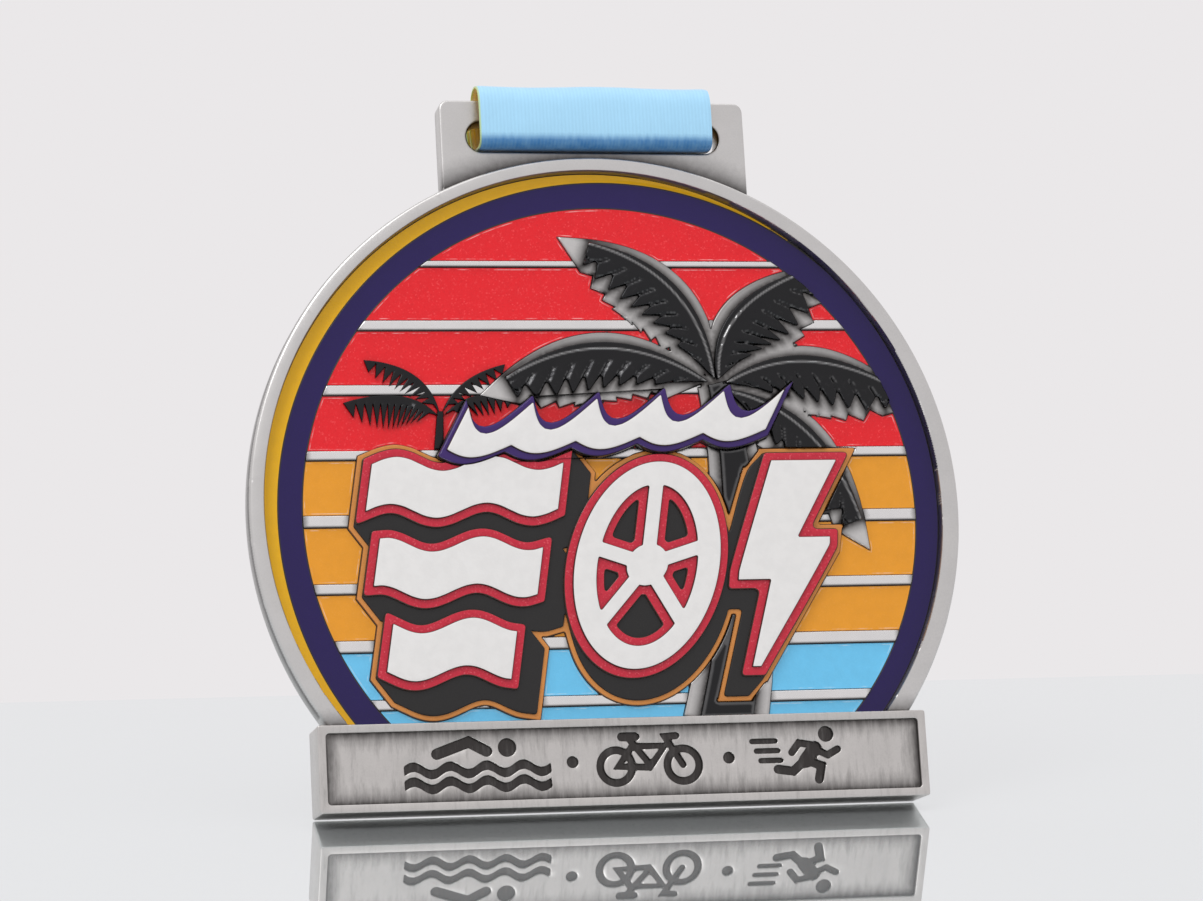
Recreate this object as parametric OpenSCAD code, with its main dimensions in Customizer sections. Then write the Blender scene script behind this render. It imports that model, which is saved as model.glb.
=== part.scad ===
// Round finisher medal that stands on a flat base bar, with a neck ribbon through its hanger slot.
// Millimetres, +Z up, the front of the medal faces -Y.
// The origin is the middle of the base bar's underside.

/* [Disc] */
// Diameter of the round disc
disc_d = 90; // [80:1:100]
// Thickness of the disc at its rim
disc_t = 4; // [3.6:0.1:5]
// Height of the disc's centre above the underside of the bar
disc_z = 37; // [36:0.5:38]
// Depth from the rim's front face down to the enamel
recess_depth = 1.6; // [1.2:0.1:1.8]
// Thickness of the enamel fills
enamel_t = 0.8; // [0.4:0.1:0.9]

/* [Base bar] */
// Width of the bar
bar_w = 76; // [72:1:84]
// Height of the bar
bar_h = 10.6; // [10:0.1:11]
// Depth of the bar, front to back
bar_d = 7; // [6:0.5:10]
// Width of the raised border round the front panel
bar_border = 1; // [0.8:0.1:1.4]
// Depth of the front panel below the border
panel_depth = 0.5; // [0.3:0.1:0.8]
// Depth of the engraving below the panel
engrave_depth = 0.5; // [0.3:0.1:0.8]

/* [Hanger] */
// Width of the hanger tab
tab_w = 39.4; // [38:0.2:44]
// How far the tab sits to the right of the disc's middle
tab_x = 0.5; // [0:0.1:0.6]
// Height of the tab's top edge above the underside of the bar
tab_top = 89.5; // [89:0.5:92]
// Thickness of the tab
tab_t = 3.2; // [2.6:0.1:3.6]
// Length of the ribbon slot, end to end
slot_w = 32.6; // [31:0.2:34]
// Height of the ribbon slot
slot_h = 3.9; // [3.4:0.1:3.9]
// Metal above the slot, where the ribbon loops round
slot_bar = 2.8; // [2.4:0.1:2.8]

/* [Relief] */
// How far the metal stripes stand above the enamel
stripe_rise = 0.2; // [0.1:0.1:0.3]
// Width of the coloured outline round each emblem
outline_w = 1.1; // [0.8:0.1:1.2]
// Width of the fine keyline round the emblem shade
keyline_w = 0.6; // [0.4:0.1:0.8]
// Forward lean of the emblems, sideways per unit of height
slant = 0.173; // [0.1:0.01:0.2]

/* [Ribbon] */
// Width of the ribbon
ribbon_w = 30; // [25:0.5:30]
// Thickness of the ribbon
ribbon_t = 0.5; // [0.3:0.05:0.6]
// Length of one run of the folded ribbon behind the medal
hank_run = 57; // [50:1:60]
// Thickness of the folded ribbon
hank_t = 7.6; // [6:0.2:8]

/* [Hidden] */
$fn = 96;

// Depths along Y: the front is negative, and each layer of the relief stands on the one behind it.
back_y = disc_t / 2;
rim_y = -disc_t / 2;
enamel_y = rim_y + recess_depth;
floor_y = enamel_y + enamel_t;
stripe_y = enamel_y - stripe_rise;
halo_y = enamel_y - 0.3;
frond_y = enamel_y - 0.9;
trunk_y = enamel_y - 0.7;
keyline_y = enamel_y - 0.4;
shade_y = enamel_y - 0.7;
outline_y = enamel_y - 1.1;
face_y = enamel_y - 1.5;
swash_y = enamel_y - 1.6;
swash_face_y = enamel_y - 2.0;
small_palm_y = enamel_y - 0.35;
tab_y = back_y - tab_t;
bar_y = -bar_d / 2;
panel_y = bar_y + panel_depth;
engrave_y = panel_y + engrave_depth;

// Outlines in the disc's plane are drawn round the disc's centre.
disc_r = disc_d / 2;
art = disc_d / 90;
chord = bar_h - disc_z;
recess_r = 42.9 * art;
recess_c = [-0.2, 0.3];
ring_r = 42.5 * art;
ring_c = [1.2, -0.5];
sky_r = 39 * art;
sky_c = [0.7, -0.3];

// Middle height and width of each metal stripe, from the top down.
stripe_mid = [31.4, 23.5, 15.3, 7.1, -1.1, -9.5, -16.6, -23.8];
stripe_h = [0.8, 1.3, 1.3, 1.2, 1.5, 1.3, 1.5, 1.3];

// Palm fronds: base, control point and tip of the ridge, then the width and the number of leaflets.
fronds = [
    [[14.3, 16.2], [12.8, 30.2], [-0.9, 33.9], 5.4, 10],
    [[15.0, 16.2], [14.5, 25.8], [27.5, 30.4], -6.4, 9],
    [[13.6, 15.8], [1.0, 24.5], [-12.3, 16.6], 5.4, 10],
    [[15.7, 15.7], [26.0, 21.8], [38.0, 15.0], -5.4, 9],
    [[15.6, 14.9], [27.8, 12.4], [32.2, -1.8], -4.6, 8]];
small_fronds = [
    [[-20.8, 12.2], [-22.0, 18.0], [-29.2, 19.0], 2.8, 11],
    [[-21.0, 12.0], [-24.5, 15.8], [-32.0, 13.9], 4.2, 13],
    [[-20.5, 12.3], [-18.6, 16.6], [-13.0, 18.3], -2.0, 9],
    [[-20.3, 12.0], [-17.0, 15.4], [-12.0, 14.4], -2.6, 9]];
trunk_path = [[14.8, 16.0], [19.2, -2.0], [13.2, -27.2]];
crown = [15.0, 15.4];
crown_r = 2.3;

// Emblem frames before they lean: the bottom and top of the faces, and the ends of the three wave bars.
face_low = -20.3;
face_high = 5.8;
wave_left = [-30.8, -28.6, -25.6];
wave_right = [-6.7, -8, -10];
wave_h = 6;
wave_rise = 0.9;
wheel_c = [5.4, -7.25];
wheel_r = [9.3, 13.05];
tyre_w = 3;
hub_r = 2.7;
spoke_w = 1.9;
spoke_count = 5;
shade_left = [2.2, -3];
shade_mid = [0.6, -2.6];
shade_right = [-2.2, -2.4];

// Hanger and ribbon.
slot_low = tab_top - slot_bar - slot_h;
loop_path = [[3.0, 84.6], [1.2, 83.6], [-1.0, 83.3], [-2.3, 83.4], [-2.9, 84.6], [-3.0, 87.0],
    [-2.7, 89.4], [-1.7, 90.8], [0.0, 91.4], [1.8, 90.9], [2.9, 89.4], [3.2, 87.0]];
ribbon_shift = tab_x + 0.1;
hinge_y = 4.5;
hinge_z = 87;
lead_t = 1.1;
hank_y = 3.4;
hank_top = 82;

// ---------- outline helpers ----------

function lean(points) = [for (p = points) [p[0] + slant * p[1], p[1]]];
function area(points) = let (n = len(points))
    sumv([for (i = [0:n - 1]) points[i][0] * points[(i + 1) % n][1] - points[(i + 1) % n][0] * points[i][1]]);
function sumv(v, i = 0) = i == len(v) ? 0 : v[i] + sumv(v, i + 1);
function ccw(points) = area(points) > 0 ? points : [for (i = [len(points) - 1:-1:0]) points[i]];
function outward(a, b) = [b[1] - a[1], a[0] - b[0]] / norm(b - a);

// A closed outline moved outwards by d, with mitred corners; its points run anticlockwise.
function grown(points, d) = let (n = len(points))
    [for (i = [0:n - 1])
        let (before = outward(points[(i + n - 1) % n], points[i]), after = outward(points[i], points[(i + 1) % n]))
        points[i] + d * (before + after) / max(0.5, 1 + before * after)];

// The area that a convex outline covers as it moves by v.
function swept(points, v) = let (n = len(points))
    [for (i = [0:n - 1])
        let (before = outward(points[(i + n - 1) % n], points[i]) * v > 0,
            after = outward(points[i], points[(i + 1) % n]) * v > 0)
        each (before == after ? [points[i] + (after ? v : [0, 0])]
            : [points[i] + (before ? v : [0, 0]), points[i] + (after ? v : [0, 0])])];

function bez(f, s) = pow(1 - s, 2) * f[0] + 2 * s * (1 - s) * f[1] + s * s * f[2];
function bez_dir(f, s) = let (d = (1 - s) * (f[1] - f[0]) + s * (f[2] - f[1])) d / norm(d);
function bez_side(f, s) = let (d = bez_dir(f, s)) [-d[1], d[0]];

// One frond: a smooth edge above the ridge and leaflets below it. A positive width puts the leaflets
// on the left of the ridge, from base to tip.
function frond(f, above, extra, reach, notch) = let (
        w = f[3] + sign(f[3]) * extra,
        steps = 10,
        upper = [for (i = [0:steps]) let (s = i / steps)
            bez(f, s) - sign(w) * above * (0.35 + 0.65 * sin(180 * s)) * bez_side(f, s)],
        tip = [f[2] + reach * bez_dir(f, 1)],
        lower = [for (k = [f[4] - 1:-1:1])
            let (s = (k + 0.55) / f[4], wide = w * (0.25 + 0.75 * pow(sin(180 * pow(1 - s, 0.8)), 0.7)))
            each [bez(f, min(1, s + 0.6 / f[4])) + wide * bez_side(f, s),
                bez(f, s - 0.15 / f[4]) + notch * wide * bez_side(f, s)]])
    ccw(concat(upper, tip, lower));

function trunk(half_top, half_foot) = let (steps = 8)
    ccw(concat(
        [for (i = [0:steps]) let (s = i / steps)
            bez(trunk_path, s) + (half_top + (half_foot - half_top) * s) * bez_side(trunk_path, s)],
        [for (i = [steps:-1:0]) let (s = i / steps)
            bez(trunk_path, s) - (half_top + (half_foot - half_top) * s) * bez_side(trunk_path, s)]));

// A smooth closed curve through the given points.
function knot(points, i) = points[(i + len(points)) % len(points)];
function smooth(points, steps) = [for (i = [0:len(points) - 1], j = [0:steps - 1])
    let (t = j / steps, a = knot(points, i - 1), b = knot(points, i), c = knot(points, i + 1), d = knot(points, i + 2))
    0.5 * (2 * b + (c - a) * t + (2 * a - 5 * b + 4 * c - d) * t * t + (3 * b - a - 3 * c + d) * pow(t, 3))];

// ---------- emblem outlines, leaning, round the disc's centre ----------

wave_steps = 16;
wave_mid = [for (k = [0:2]) face_high - wave_h / 2 - k * (face_high - face_low - wave_h) / 2];
function wave_z(u) = wave_rise * sin(360 * (u - wave_left[0]) / 12);
function wave_line(k, z) = [for (i = [0:wave_steps])
    let (u = wave_left[k] + (wave_right[k] - wave_left[k]) * i / wave_steps) [u, z + wave_z(u)]];
function wave(k) = let (low = wave_line(k, wave_mid[k] - wave_h / 2), high = wave_line(k, wave_mid[k] + wave_h / 2))
    lean(concat(low, [for (i = [wave_steps:-1:0]) high[i]]));

ring_steps = 48;
function wheel_oval(g) = lean([for (i = [0:ring_steps - 1])
    let (a = 360 * i / ring_steps) wheel_c + [(wheel_r[0] + g) * cos(a), (wheel_r[1] + g) * sin(a)]]);
function hub_oval(g) = lean([for (i = [0:ring_steps / 2 - 1])
    let (a = 720 * i / ring_steps) wheel_c + (hub_r + g) * [cos(a), sin(a)]]);
function spoke(k, g) = let (a = 90 + 360 * k / spoke_count, d = [cos(a), sin(a)], n = [-d[1], d[0]],
        r = norm([wheel_r[0] * d[0], wheel_r[1] * d[1]]) - tyre_w / 2, w = spoke_w / 2 + g)
    lean([wheel_c - w * n, wheel_c + r * d - w * n, wheel_c + r * d + w * n, wheel_c + w * n]);

bolt = lean([[20.2, face_low], [21.4, face_low], [28.6, -5.2], [28.6, -4.0], [24.4, -4.0],
    [28.4, face_high], [19.8, face_high], [17.2, -8.0], [17.2, -9.4], [21.4, -9.4]]);

// ---------- plans: flat shapes in the disc's plane ----------

module relief(front, back) {
    translate([0, back, disc_z]) rotate([90, 0, 0]) linear_extrude(height = back - front) children();
}

module above_bar() {
    translate([-disc_d, chord]) square([2 * disc_d, 2 * disc_d]);
}

module sky_plan() {
    intersection() {
        translate(sky_c) circle(r = sky_r);
        above_bar();
    }
}

module sweep_plan(points, v, g) {
    polygon(grown(points, g));
    polygon(grown([for (p = points) p + v], g));
    for (i = [0:len(points) - 1]) {
        a = points[i];
        b = points[(i + 1) % len(points)];
        polygon(grown(ccw([a, b, b + v, a + v]), g));
    }
}

module shade_plan(g) {
    for (k = [0:2]) polygon(grown(swept(grown(wave(k), outline_w), shade_left), g));
    polygon(grown(swept(wheel_oval(outline_w), shade_mid), g));
    sweep_plan(grown(bolt, outline_w), shade_right, g);
}

module keyline_plan() {
    shade_plan(keyline_w);
}

module wheel_plan(g) {
    difference() {
        polygon(wheel_oval(g));
        difference() {
            polygon(wheel_oval(-tyre_w - g));
            polygon(hub_oval(g));
            for (k = [0:spoke_count - 1]) polygon(spoke(k, g));
        }
    }
}

// A rising band of swell: pointed crests along its top, softer ones along its underside, leaning forward.
swash_x = [-19.6, 21.2];
swash_crests = 5;
crest_steps = 10;
function swell(s) = 1 - sin(180 * (swash_crests * s - floor(swash_crests * s)));
function swash_mid(s) = 9.0 + 2.2 * s;
function swash_point(s, z, g) = let (x = swash_x[0] - g + (swash_x[1] - swash_x[0] + 2 * g) * s)
    [x + 0.55 * (z - swash_mid(s)), z];
function swash(g) = let (n = swash_crests * crest_steps, fade = 0.4)
    concat(
        [for (i = [0:n]) let (s = i / n) swash_point(s, swash_mid(s) - 2.9 - g + fade * 3.2 * swell(s), g)],
        [for (i = [n:-1:0]) let (s = i / n) swash_point(s, swash_mid(s) + 0.2 + 1.4 * g + 3.8 * swell(s), g)]);

module swash_plan() {
    polygon(swash(0.7));
}

module halo_plan() {
    for (f = fronds) polygon(frond(f, 2.2, 1.4, 4, 1));
    polygon(trunk(2.6, 5.4));
    translate(crown) circle(r = crown_r, $fn = 32);
}

module art_cut() {
    difference() {
        children();
        halo_plan();
        keyline_plan();
        swash_plan();
    }
}

module band_plan(low, high) {
    art_cut() intersection() {
        sky_plan();
        translate([-disc_r, low]) square([disc_d, high - low]);
    }
}

module small_palm_plan() {
    for (f = small_fronds) polygon(frond(f, 0.15, 0, 0.8, 0.2));
    polygon([[-21.7, 7.8], [-20.5, 7.8], [-20.3, 12.6], [-21.1, 12.6]]);
}

// ---------- engraved pictograms on the bar, drawn round each one's own centre ----------

// A line of even width with mitred bends and round ends.
function turned(v, a) = [v[0] * cos(a) - v[1] * sin(a), v[0] * sin(a) + v[1] * cos(a)];
function limb(points, w) = let (n = len(points) - 1,
        side = [for (i = [0:n])
            let (before = outward(points[max(i, 1) - 1], points[max(i, 1)]),
                after = outward(points[min(i, n - 1)], points[min(i, n - 1) + 1]))
            w / 2 * (before + after) / max(0.5, 1 + before * after)])
    concat([for (i = [0:n]) points[i] + side[i]],
        [for (a = [30:30:150]) points[n] + turned(side[n], a)],
        [for (i = [n:-1:0]) points[i] - side[i]],
        [for (a = [30:30:150]) points[0] - turned(side[0], a)]);

module ripple(z, length, w) {
    n = 28;
    line = [for (i = [0:n]) let (u = length * (i / n - 0.5)) [u, z + 0.5 * sin(360 * u / 4.5)]];
    polygon(concat([for (p = line) p + [0, w / 2]], [for (i = [n:-1:0]) line[i] - [0, w / 2]]));
}

module swimmer_plan() {
    ripple(-2.35, 18, 1.1);
    ripple(-0.55, 18, 1.1);
    polygon(limb([[-5.0, 1.4], [-1.0, 2.8], [1.2, 1.6]], 1.3));
    translate([3.7, 2.0]) circle(r = 1.1, $fn = 32);
}

module wheel_ring(x) {
    translate([x, -0.7]) difference() {
        circle(r = 2.45, $fn = 48);
        circle(r = 1.55, $fn = 48);
    }
}

module bicycle_plan() {
    frame = ccw([[-3.9, -0.7], [0.0, -0.9], [2.0, 1.7], [-2.1, 1.7]]);
    wheel_ring(-4.2);
    wheel_ring(4.2);
    difference() {
        polygon(grown(frame, 0.4));
        polygon(grown(frame, -0.4));
    }
    polygon(limb([[0.1, -0.6], [-2.4, 2.6]], 0.8));
    polygon(limb([[4.2, -0.7], [2.1, 2.8], [3.5, 2.9]], 0.8));
    polygon(limb([[-3.4, 2.9], [-1.6, 2.9]], 1.0));
}

module runner_plan() {
    translate([2.9, 2.6]) circle(r = 0.95, $fn = 32);
    polygon(limb([[1.4, 0.9], [0.1, -0.7]], 1.7));
    polygon(limb([[0.3, -0.6], [2.1, -1.3], [1.7, -3.0]], 1.05));
    polygon(limb([[0.1, -0.5], [-1.5, -1.9], [-3.5, -1.6]], 1.05));
    polygon(limb([[1.3, 0.8], [3.0, 0.0], [4.3, 0.7]], 0.85));
    polygon(limb([[1.5, 1.2], [-0.6, 1.6], [-1.6, 0.4]], 0.85));
    for (k = [0:2]) polygon(limb([[-6.6 + k * 0.5, 1.9 - k * 1.2], [-3.6 + k * 0.3, 1.9 - k * 1.2]], 0.6));
}

module engraving_plan() {
    mid = bar_h / 2 + 0.1;
    translate([-18.6, mid]) swimmer_plan();
    translate([2.7, mid]) bicycle_plan();
    translate([22.3, mid]) runner_plan();
    for (x = [-6.9, 12.7]) translate([x, mid]) circle(r = 0.7, $fn = 32);
}

// ---------- cast metal ----------

function rounded(w, low, high, r) = [for (k = [0:3], i = [0:6])
    let (a = 90 * k + 15 * i - 180, x = (k == 1 || k == 2 ? 1 : -1) * (w / 2 - r), z = k < 2 ? low + r : high - r)
    [x + r * cos(a), z + r * sin(a)]];

module upright(front, back) {
    translate([0, back, 0]) rotate([90, 0, 0]) linear_extrude(height = back - front) children();
}

module cast_body() {
    field_depth = 0.3;
    color("silver") difference() {
        union() {
            intersection() {
                relief(rim_y, back_y) circle(r = disc_r, $fn = 180);
                relief(rim_y, back_y) above_bar();
            }
            translate([tab_x, 0, 0]) upright(tab_y, back_y) polygon(rounded(tab_w, tab_top - 13, tab_top, 1.2));
        }
        relief(rim_y - 1, floor_y) intersection() {
            translate(recess_c) circle(r = recess_r, $fn = 180);
            above_bar();
        }
        relief(back_y - field_depth, back_y + 1) intersection() {
            circle(r = recess_r, $fn = 180);
            translate([-disc_d, chord + 2]) square([2 * disc_d, 2 * disc_d]);
        }
        upright(tab_y - 3, back_y + 1) translate([tab_x, slot_low + slot_h / 2]) {
            square([slot_w - slot_h, slot_h], center = true);
            for (x = [-1, 1]) translate([x * (slot_w - slot_h) / 2, 0]) circle(d = slot_h, $fn = 48);
        }
    }
}

module base_bar() {
    color("silver") difference() {
        upright(bar_y, -bar_y) polygon(rounded(bar_w, 0, bar_h, 0.4));
        upright(bar_y - 1, panel_y)
            polygon(rounded(bar_w - 2 * bar_border, bar_border, bar_h - bar_border, 0.4));
        upright(bar_y - 1, engrave_y) engraving_plan();
    }
}

module stripe_bars() {
    color("gainsboro") relief(stripe_y, floor_y) art_cut() intersection() {
        sky_plan();
        for (i = [0:len(stripe_mid) - 1])
            translate([-disc_r, stripe_mid[i] - stripe_h[i] / 2]) square([disc_d, stripe_h[i]]);
    }
}

// ---------- enamel fills ----------

module ring_plan() {
    intersection() {
        translate(recess_c) circle(r = recess_r, $fn = 180);
        translate(ring_c) circle(r = ring_r, $fn = 180);
        above_bar();
    }
}

module yellow_crescent() {
    color("gold") relief(enamel_y, floor_y) difference() {
        intersection() {
            translate(recess_c) circle(r = recess_r, $fn = 180);
            above_bar();
        }
        translate(ring_c) circle(r = ring_r, $fn = 180);
    }
}

module navy_ring() {
    color("midnightblue") relief(enamel_y, floor_y) difference() {
        ring_plan();
        translate(sky_c) circle(r = sky_r);
    }
}

// Band k runs from the underside of stripe k down to the top of stripe k + 1.
function band_high(k) = k == 0 ? disc_r : stripe_mid[k - 1] - stripe_h[k - 1] / 2;
function band_low(k) = k == len(stripe_mid) ? chord : stripe_mid[k] + stripe_h[k] / 2;

module band(k) {
    relief(enamel_y, floor_y) band_plan(band_low(k), band_high(k));
}

module red_band_1() { color("crimson") band(0); }
module red_band_2() { color("crimson") band(1); }
module red_band_3() { color("crimson") band(2); }
module red_band_4() { color("crimson") band(3); }
module orange_band_1() { color("orange") band(4); }
module orange_band_2() { color("orange") band(5); }
module orange_band_3() { color("orange") band(6); }
module blue_band_1() { color("skyblue") band(7); }
module blue_band_2() { color("skyblue") band(8); }

// ---------- palms ----------

module on_halo() {
    intersection() {
        difference() {
            children();
            keyline_plan();
            swash_plan();
        }
        sky_plan();
    }
}

module palm_halo() {
    color("darkgray") relief(halo_y, floor_y) on_halo() halo_plan();
}

module palm_trunk() {
    color("dimgray") relief(trunk_y, halo_y) on_halo() difference() {
        polygon(trunk(1.3, 3.4));
        for (f = fronds) polygon(frond(f, 0.9, 0, 0, 0.6));
    }
}

// Frond k lies over the fronds numbered above it.
module palm_frond(k) {
    color("dimgray") relief(frond_y, halo_y) on_halo() difference() {
        polygon(frond(fronds[k], 0.9, 0, 0, 0.6));
        if (k > 0) for (j = [0:k - 1]) polygon(frond(fronds[j], 0.9, 0, 0, 0.6));
    }
}

module palm_frond_1() { palm_frond(0); }
module palm_frond_2() { palm_frond(1); }
module palm_frond_3() { palm_frond(2); }
module palm_frond_4() { palm_frond(3); }
module palm_frond_5() { palm_frond(4); }

module small_palm() {
    color("dimgray") difference() {
        relief(small_palm_y, enamel_y) difference() {
            small_palm_plan();
            halo_plan();
            keyline_plan();
            swash_plan();
        }
        relief(stripe_y, enamel_y + 1) translate([-disc_r, stripe_mid[2] - stripe_h[2] / 2]) square([disc_d, stripe_h[2]]);
    }
}

// ---------- emblems, stacked on one plateau ----------

module clear_of_swash() {
    difference() {
        intersection() {
            children();
            above_bar();
        }
        swash_plan();
    }
}

module emblem_keyline() {
    color("orange") relief(keyline_y, floor_y) clear_of_swash() keyline_plan();
}

module emblem_shade() {
    color("black") relief(shade_y, keyline_y) clear_of_swash() shade_plan(0);
}

module wave_outline() {
    color("red") relief(outline_y, shade_y) clear_of_swash()
        for (k = [0:2]) polygon(grown(wave(k), outline_w));
}

module wheel_outline() {
    color("red") relief(outline_y, shade_y) clear_of_swash() wheel_plan(outline_w);
}

module bolt_outline() {
    color("red") relief(outline_y, shade_y) clear_of_swash() polygon(grown(bolt, outline_w));
}

module wave_face() {
    color("white") relief(face_y, outline_y) clear_of_swash() for (k = [0:2]) polygon(wave(k));
}

module wheel_face() {
    color("white") relief(face_y, outline_y) clear_of_swash() wheel_plan(0);
}

module bolt_face() {
    color("white") relief(face_y, outline_y) clear_of_swash() polygon(bolt);
}

module swash_outline() {
    color("navy") relief(swash_y, floor_y) swash_plan();
}

module swash_face() {
    color("white") relief(swash_face_y, swash_y) polygon(swash(0));
}

// ---------- ribbon ----------

module across(w) {
    translate([ribbon_shift - w / 2, 0, 0]) rotate([90, 0, 90]) linear_extrude(height = w) children();
}

module ribbon_wrap() {
    loop = ccw(smooth(loop_path, 4));
    color("lightskyblue") across(ribbon_w) difference() {
        polygon(grown(loop, ribbon_t / 2));
        polygon(grown(loop, -ribbon_t / 2));
    }
}

// Both layers of the ribbon hang from the hinge line and run into the folded part.
module ribbon_lead() {
    color("lightskyblue") across(ribbon_w) union() {
        translate([hinge_y, hinge_z]) circle(d = lead_t, $fn = 24);
        translate([hinge_y - lead_t / 2, hank_top]) square([lead_t, hinge_z - hank_top]);
    }
}

module hank_plan(g) {
    polygon([for (k = [0, 1], i = [0:12])
        let (a = 180 * k + 15 * i, r = hank_t / 2 + g, mid = k == 0 ? hank_top - hank_t / 2 : hank_top - hank_run + hank_t / 2)
        [hank_y + hank_t / 2 + r * cos(a), mid + r * sin(a)]]);
}

module ribbon_hank() {
    color("deepskyblue") across(ribbon_w) hank_plan(0);
}

module hank_tie() {
    tie_w = 6;
    tie_t = 0.6;
    tie_z = hank_top - hank_run / 2;
    gap = 0.05;
    color("white") difference() {
        translate([ribbon_shift - ribbon_w / 2 - gap - tie_t, hank_y - gap - tie_t, tie_z - tie_w / 2])
            cube([ribbon_w + 2 * (gap + tie_t), hank_t + 2 * (gap + tie_t), tie_w]);
        translate([ribbon_shift - ribbon_w / 2 - gap, hank_y - gap, tie_z - tie_w])
            cube([ribbon_w + 2 * gap, hank_t + 2 * gap, 2 * tie_w]);
    }
}

// The two ends of the ribbon are sewn together in a flat lap on the outer layer.
module ribbon_seam() {
    seam_h = 12;
    seam_low = hank_top - hank_run + 8;
    color("skyblue") translate([ribbon_shift - ribbon_w / 2, hank_y + hank_t, seam_low])
        cube([ribbon_w, ribbon_t, seam_h]);
}

cast_body();
base_bar();
stripe_bars();
yellow_crescent();
navy_ring();
red_band_1();
red_band_2();
red_band_3();
red_band_4();
orange_band_1();
orange_band_2();
orange_band_3();
blue_band_1();
blue_band_2();
palm_halo();
palm_trunk();
palm_frond_1();
palm_frond_2();
palm_frond_3();
palm_frond_4();
palm_frond_5();
small_palm();
emblem_keyline();
emblem_shade();
wave_outline();
wheel_outline();
bolt_outline();
wave_face();
wheel_face();
bolt_face();
swash_outline();
swash_face();
ribbon_wrap();
ribbon_lead();
ribbon_hank();
hank_tie();
ribbon_seam();
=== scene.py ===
"""A finisher medal on its base bar, with a neck ribbon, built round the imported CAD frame.

Lengths in this script are in millimetres, in the CAD's own frame (the front faces -Y), and are
turned into metres where a mesh, a light or a camera is made.
"""

import math

import bmesh
import bpy
import numpy as np
from mathutils import Matrix, Vector, geometry
from mathutils.bvhtree import BVHTree


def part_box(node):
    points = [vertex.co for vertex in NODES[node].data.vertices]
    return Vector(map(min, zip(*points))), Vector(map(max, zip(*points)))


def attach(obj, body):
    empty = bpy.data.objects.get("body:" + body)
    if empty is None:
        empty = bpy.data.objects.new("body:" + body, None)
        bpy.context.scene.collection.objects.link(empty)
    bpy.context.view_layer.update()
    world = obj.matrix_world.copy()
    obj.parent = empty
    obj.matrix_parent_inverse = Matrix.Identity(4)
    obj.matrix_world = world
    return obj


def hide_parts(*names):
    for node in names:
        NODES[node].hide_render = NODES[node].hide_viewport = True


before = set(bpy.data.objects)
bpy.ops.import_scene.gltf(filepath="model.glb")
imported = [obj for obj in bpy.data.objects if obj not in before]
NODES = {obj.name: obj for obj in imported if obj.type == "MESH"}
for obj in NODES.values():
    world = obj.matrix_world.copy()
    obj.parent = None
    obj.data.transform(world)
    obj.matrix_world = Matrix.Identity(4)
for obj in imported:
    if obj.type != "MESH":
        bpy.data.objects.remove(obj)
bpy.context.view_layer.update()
MM = 0.001


# ---------- camera, light and floor ----------


def direction(azimuth, elevation):
    """Unit vector towards a point at that azimuth (0 is the medal's front, -Y) and elevation."""
    a, e = math.radians(azimuth), math.radians(elevation)
    return Vector((math.sin(a) * math.cos(e), -math.cos(a) * math.cos(e), math.sin(e)))


def linked(name, data):
    """An object with that data, in the scene."""
    made = bpy.data.objects.new(name, data)
    bpy.context.scene.collection.objects.link(made)
    return made


def make_camera():
    """The photograph's view: a long lens, a little to the left of the medal and looking up at it."""
    target = Vector((-0.91, -2.0, 44.16)) * MM
    back = direction(-13.2, -11.57)
    distance = 455.2 * MM
    roll = math.radians(-3.22)
    cam = linked("camera", bpy.data.cameras.new("camera"))
    cam.data.lens = 109.9
    cam.data.sensor_width = 36
    cam.data.clip_start = 0.01
    cam.data.clip_end = 50
    level = (-back).to_track_quat("-Z", "Y").to_matrix().to_4x4()
    spot = Matrix.Translation(target + back * distance)
    cam.matrix_world = spot @ level @ Matrix.Rotation(roll, 4, "Z")
    bpy.context.scene.camera = cam


def area_light(name, azimuth, elevation, distance, size, power):
    """A soft box that looks at the medal; distance and size are in metres, and power in watts."""
    data = bpy.data.lights.new(name, "AREA")
    data.shape = "RECTANGLE"
    data.size, data.size_y = size
    data.energy = power
    lamp = linked(name, data)
    away = direction(azimuth, elevation)
    lamp.location = Vector((0, 0, 45 * MM)) + away * distance
    lamp.rotation_euler = away.to_track_quat("Z", "Y").to_euler()


def make_light():
    """A pale, even studio with a soft key light from the upper left and a weak one from above."""
    scene = bpy.context.scene
    scene.view_settings.view_transform = "Standard"
    world = bpy.data.worlds.new("studio")
    scene.world = world
    world.use_nodes = True
    tree = world.node_tree
    tree.nodes.clear()
    out = tree.nodes.new("ShaderNodeOutputWorld")
    shade = tree.nodes.new("ShaderNodeBackground")
    shade.inputs["Color"].default_value = (0.825, 0.805, 0.815, 1)
    shade.inputs["Strength"].default_value = 1.0
    tree.links.new(shade.outputs[0], out.inputs[0])
    area_light("key", -35, 40, 0.55, (0.22, 0.22), 0.75)
    area_light("top", 20, 75, 0.5, (0.5, 0.3), 0.35)


FLOOR_TILT = math.radians(16.6)


def make_floor():
    """A pale mirror-like glass plate. It meets the bar at its back bottom edge and slopes down towards
    the camera, which is how the photograph's reflection lies."""
    half_w, near, far = 900 * MM, -900 * MM, 102 * MM
    gap = 0.02 * MM
    mesh = bpy.data.meshes.new("floor")
    corners = [(-half_w, near, 0), (half_w, near, 0), (half_w, far, 0), (-half_w, far, 0)]
    mesh.from_pydata(corners, [], [(0, 1, 2, 3)])
    floor = linked("floor", mesh)
    hinge = Vector((0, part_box("base_bar")[1].y, -gap))
    floor.matrix_world = Matrix.Translation(hinge) @ Matrix.Rotation(FLOOR_TILT, 4, "X")
    mat, _, bsdf = new_material("floor_glass")
    bsdf.inputs["Base Color"].default_value = (0.87, 0.915, 0.925, 1)
    bsdf.inputs["Metallic"].default_value = 0.78
    bsdf.inputs["Roughness"].default_value = 0.02
    mesh.materials.append(mat)


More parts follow.
